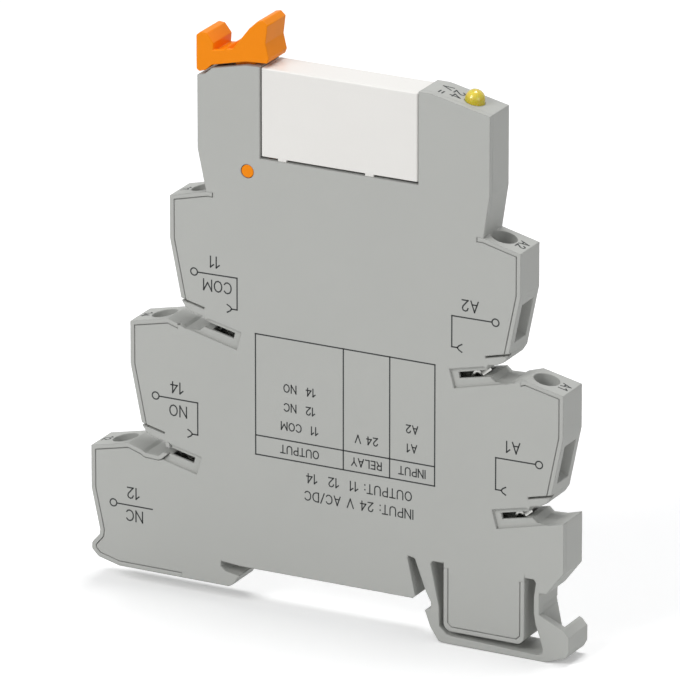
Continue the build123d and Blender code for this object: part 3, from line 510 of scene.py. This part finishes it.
class PrintPlate:
    # gathers strokes and letters that lie on one plane into a single thin piece
    def __init__(self, name, origin, turn):
        self.name, self.origin, self.turn = name, Vector(origin), turn
        self.work = bmesh.new()

    def corner(self, x, y):
        return self.work.verts.new(self.origin + self.turn @ Vector((x, y, 0)))

    def stroke(self, points, width=ink["line"]):
        # a line whose last point is its first is closed; a sharp corner starts a new ribbon
        run = points[:1]
        for before, point, after in zip(points, points[1:], points[2:] + [None]):
            run.append(point)
            turn = 0
            if after:
                turn = (Vector(point) - Vector(before)).angle(Vector(after) - Vector(point))
            if after is None or turn > math.radians(ink["sharpCorner"]):
                rims = [[self.corner(p.x, p.y) for p in pair] for pair in ribbon(run, width)]
                for (a, b), (c, d) in zip(rims, rims[1:]):
                    self.work.faces.new((a, b, d, c))
                run = [point]

    def ring(self, centre, size):
        steps = ink["circleSteps"]
        turns = [2 * math.pi * k / steps for k in range(steps)]
        rims = []
        for radius in (size / 2 - ink["line"], size / 2):
            spots = [(centre[0] + radius * math.cos(t), centre[1] + radius * math.sin(t)) for t in turns]
            rims.append([self.corner(*spot) for spot in spots])
        for k in range(steps):
            n = (k + 1) % steps
            self.work.faces.new((rims[0][k], rims[1][k], rims[1][n], rims[0][n]))

    def words(self, text, centre, height, width=ink["line"]):
        # the letters' strokes stay within the height, and the words are centred
        tall, gap = height - width, ink["letterGap"] * height
        x = -sum(letters[c][0] * tall + gap for c in text) / 2 + gap / 2
        for letter in text:
            across, strokes = letters[letter]
            for points in strokes:
                run = [(centre[0] + x + px * tall, centre[1] + (py - 0.5) * tall) for px, py in points]
                self.stroke(run, width)
            x += across * tall + gap

    def finish(self, body):
        bmesh.ops.recalc_face_normals(self.work, faces=self.work.faces)
        facing = self.turn @ Vector((0, 0, 1))
        wrong = [f for f in self.work.faces if f.normal.dot(facing) < 0]
        bmesh.ops.reverse_faces(self.work, faces=wrong)
        mesh = bpy.data.meshes.new(self.name)
        self.work.to_mesh(mesh)
        self.work.free()
        addPiece(self.name, mesh, body, printInk)


def labelPrint():
    # print sizes and places in millimetres: x to the right and z up on the label face
    marks = {
        "11": {"at": (-18.4, 47.5), "under": ("COM", (-18.0, 43.75)), "circle": (-21.9, 45.5),
               "route": [(-21.2, 45.5), (-14.7, 45.6), (-14.7, 40.6), (-15.6, 40.6)], "fork": -1},
        "14": {"at": (-24.9, 26.6), "under": ("NO", (-24.7, 22.95)), "circle": (-28.5, 24.8),
               "route": [(-27.8, 24.8), (-21.4, 24.8), (-21.4, 19.7), (-22.3, 19.7)], "fork": -1},
        "12": {"at": (-32.4, 8.5), "under": ("NC", (-32.2, 4.9)), "circle": (-35.8, 6.5),
               "route": [(-35.1, 6.5), (-29.2, 6.5)], "fork": 0},
        "A2": {"at": (23.9, 47.45), "circle": (28.05, 45.6),
               "route": [(27.4, 45.6), (20.9, 45.55), (20.9, 40.7), (21.8, 40.7)], "fork": 1},
        "A1": {"at": (31.05, 26.55), "circle": (35.3, 24.6),
               "route": [(34.6, 24.6), (28.2, 24.55), (28.2, 19.55), (29.1, 19.55)], "fork": 1},
    }
    forkArm = [(0.3, 0.35), (0.75, 0.6)]      # out from the route's end, and to one side
    plate = PrintPlate("label_print", (0, labelFace - ink["lift"], 0), labelTurn)

    def onPlate(point):
        # the plate's own x runs to the left and its y runs down
        return (-point[0] * mm, -point[1] * mm)

    for number, mark in marks.items():
        plate.words(number, onPlate(mark["at"]), ink["letters"])
        if "under" in mark:
            plate.words(mark["under"][0], onPlate(mark["under"][1]), ink["letters"])
        plate.ring(onPlate(mark["circle"]), ink["circle"])
        plate.stroke([onPlate(p) for p in mark["route"]])
        if mark["fork"]:
            x, z = mark["route"][-1]
            side = mark["fork"]
            for lift in (1, -1):
                arm = [(x, z)] + [(x + side * out, z + lift * up) for out, up in forkArm]
                plate.stroke([onPlate(p) for p in arm])
    table = {
        "left": -11.65, "right": 18.15, "low": 18.35, "high": 37.4, "header": 21.4, "columns": (3.0, 10.7),
    }
    edge =[(table["left"], table["low"]), (table["right"], table["low"]),
            (table["right"], table["high"]), (table["left"], table["high"])]
    plate.stroke([onPlate(p) for p in edge + edge[:1]])
    plate.stroke([onPlate((table["left"], table["header"])), onPlate((table["right"], table["header"]))])
    for column in table["columns"]:
        plate.stroke([onPlate((column, table["low"])), onPlate((column, table["high"]))])
    entries = {
        "INPUT": (14.4, 19.9), "RELAY": (6.85, 19.9), "OUTPUT": (-4.3, 19.9),
        "A1": (14.4, 23.6), "A2": (14.4, 26.6), "24 V": (6.85, 23.6),
        "11  COM": (-4.3, 23.6), "12  NC": (-4.3, 26.6), "14  NO": (-4.3, 29.6),
    }
    lines = {"INPUT: 24 V AC/DC": (5.6, 13.2), "OUTPUT: 11  12  14": (5.6, 16.0)}
    for texts, height in ((entries, ink["tableLetters"]), (lines, ink["lineLetters"])):
        for words, spot in texts.items():
            plate.words(words, onPlate(spot), height, ink["fineLine"])
    plate.finish("housing")


labelPrint()
print("label printed")


# Numbers beside the screw holes and the voltage beside the light

def housingTop(x, y):
    # the highest point of the housing at this place and the way that its face looks
    above, down = Vector((x, y, 1)), Vector((0, 0, -1))
    best = None
    for node in ("rear_shell", "front_shell"):
        place = nodes[node].matrix_world
        inward = place.inverted()
        hit, spot, facing = nodes[node].ray_cast(inward @ above, inward.to_3x3() @ down)[:3]
        if hit and (best is None or (place @ spot).z > best[0].z):
            best = (place @ spot, (place.to_3x3() @ facing).normalized())
    return best


def topPrint():
    # x is the middle of the letters in millimetres
    lightX = (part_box("status_led")[0].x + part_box("status_led")[1].x) / 2 / mm
    tops = {
        "11": {"x": -24.75, "height": 1.6}, "14": {"x": -31.55, "height": 1.6},
        "12": {"x": -38.35, "height": 1.6}, "A1": {"x": 38.0, "height": 1.65},
        "A2": {"x": 30.9, "height": 1.65}, "24": {"x": lightX - 2.8, "height": 1.85},
        "Volt": {"x": lightX - 4.9, "height": 1.7, "words": "V ="},
    }
    for name, top in tops.items():
        words = top.get("words", name)
        spot, facing = housingTop(top["x"] * mm, 0)
        # letters read towards the label face, with their tops to the right
        along = Vector((0, 1, 0)).cross(facing)
        turn = Matrix((Vector((0, -1, 0)), along, facing)).transposed()
        plate = PrintPlate("number_" + name, spot + facing * ink["lift"], turn)
        plate.words(words, (0, 0), top["height"] * mm, ink["boldLine"])
        plate.finish("housing")
        print("number", words, "at", [round(c / mm, 2) for c in spot])


topPrint()
print("numbers printed")


# Floor, daylight and camera

def studio():
    room = {
        "floorReach": 3.0, "floorGap": 0.02 * mm, "floorColour": (0.82, 0.82, 0.82, 1), "floorGlow": 0.21,
        "worldColour": (0.97, 0.98, 1.0, 1), "worldLight": 0.3, "white": (1, 1, 1, 1), "black": (0, 0, 0, 1),
    }
    reach, floorZ = room["floorReach"], cadBox[0].z - room["floorGap"]
    corners = [
        (-reach, -reach, floorZ), (reach, -reach, floorZ), (reach, reach, floorZ), (-reach, reach, floorZ)]
    mesh = bpy.data.meshes.new("floor")
    mesh.from_pydata(corners, [], [(0, 1, 2, 3)])
    floor = bpy.data.objects.new("floor", mesh)
    scene.collection.objects.link(floor)
    # the camera sees white paper with a slight glow, and other rays meet a light grey without it
    paper = Finish("floorPaper", **{
        "Roughness": 0.9, "Specular IOR Level": 0.0, "Emission Strength": room["floorGlow"]})
    seen = paper.node("ShaderNodeLightPath", output="Is Camera Ray")
    paper.paint("Base Color", paper.mix(seen, room["floorColour"], room["white"]))
    paper.paint("Emission Color", paper.mix(seen, room["black"], room["white"]))
    mesh.materials.append(paper.material)

    world = bpy.data.worlds.new("studioWorld")
    scene.world = world
    world.use_nodes = True
    tree = world.node_tree
    tree.nodes.clear()
    rays = tree.nodes.new("ShaderNodeLightPath")
    choose = tree.nodes.new("ShaderNodeMixShader")
    output = tree.nodes.new("ShaderNodeOutputWorld")
    # the mix's second and third sockets: the daylight, and the white that is seen
    skies = {1: (room["worldColour"], room["worldLight"]), 2: (room["white"], 1.0)}
    for place, (colour, strength) in skies.items():
        sky = tree.nodes.new("ShaderNodeBackground")
        sky.inputs["Color"].default_value = colour
        sky.inputs["Strength"].default_value = strength
        tree.links.new(sky.outputs[0], choose.inputs[place])
    # white to the camera, and also behind what is seen in a mirror or through the clear light
    factor = rays.outputs["Is Camera Ray"]
    for ray in ("Is Glossy Ray", "Is Transmission Ray"):
        either = tree.nodes.new("ShaderNodeMath")
        either.operation = "ADD"
        either.use_clamp = True
        tree.links.new(factor, either.inputs[0])
        tree.links.new(rays.outputs[ray], either.inputs[1])
        factor = either.outputs[0]
    tree.links.new(factor, choose.inputs[0])
    tree.links.new(choose.outputs[0], output.inputs["Surface"])


def lamp(name, spot, size, power):
    light = bpy.data.lights.new(name, "AREA")
    light.size = size
    light.energy = power
    holder = bpy.data.objects.new(name, light)
    scene.collection.objects.link(holder)
    holder.location = spot
    holder.rotation_mode = "QUATERNION"
    holder.rotation_quaternion = (Vector(lampAim) - Vector(spot)).to_track_quat("-Z", "Y")


# lamps and camera in metres, only the camera's centre in millimetres
lampAim = (0, 0, 0.04)
lamps = {
    "keyLamp": {"spot": (-0.35, -0.75, 0.62), "size": 0.5, "power": 5.35},
    "topLamp": {"spot": (0.05, 0.17, 0.75), "size": 0.3, "power": 2.7},
    "sideLamp": {"spot": (0.8, -0.35, 0.25), "size": 0.5, "power": 1.2},
}
shot = {
    "azimuth": 27.2, "elevation": 19.8, "distance": 1.6, "across": 0.1004, "centre": (2.45, -3.1, 38.7),
    "sensor": 36, "clip": (0.05, 20),
}


def studioCamera():
    turn, lift = math.radians(shot["azimuth"]), math.radians(shot["elevation"])
    back = Vector((math.sin(turn) * math.cos(lift), -math.cos(turn) * math.cos(lift), math.sin(lift)))
    camera = bpy.data.cameras.new("studioCamera")
    camera.sensor_width = shot["sensor"]
    camera.lens = shot["sensor"] * shot["distance"] / shot["across"]
    camera.clip_start, camera.clip_end = shot["clip"]
    holder = bpy.data.objects.new("studioCamera", camera)
    scene.collection.objects.link(holder)
    centre = Vector(shot["centre"]) * mm
    holder.location = centre + back * shot["distance"]
    holder.rotation_mode = "QUATERNION"
    holder.rotation_quaternion = (-back).to_track_quat("-Z", "Y")
    scene.camera = holder


studio()
for name, look in lamps.items():
    lamp(name, **look)
studioCamera()
scene.view_settings.view_transform = "Standard"
print("studio set")
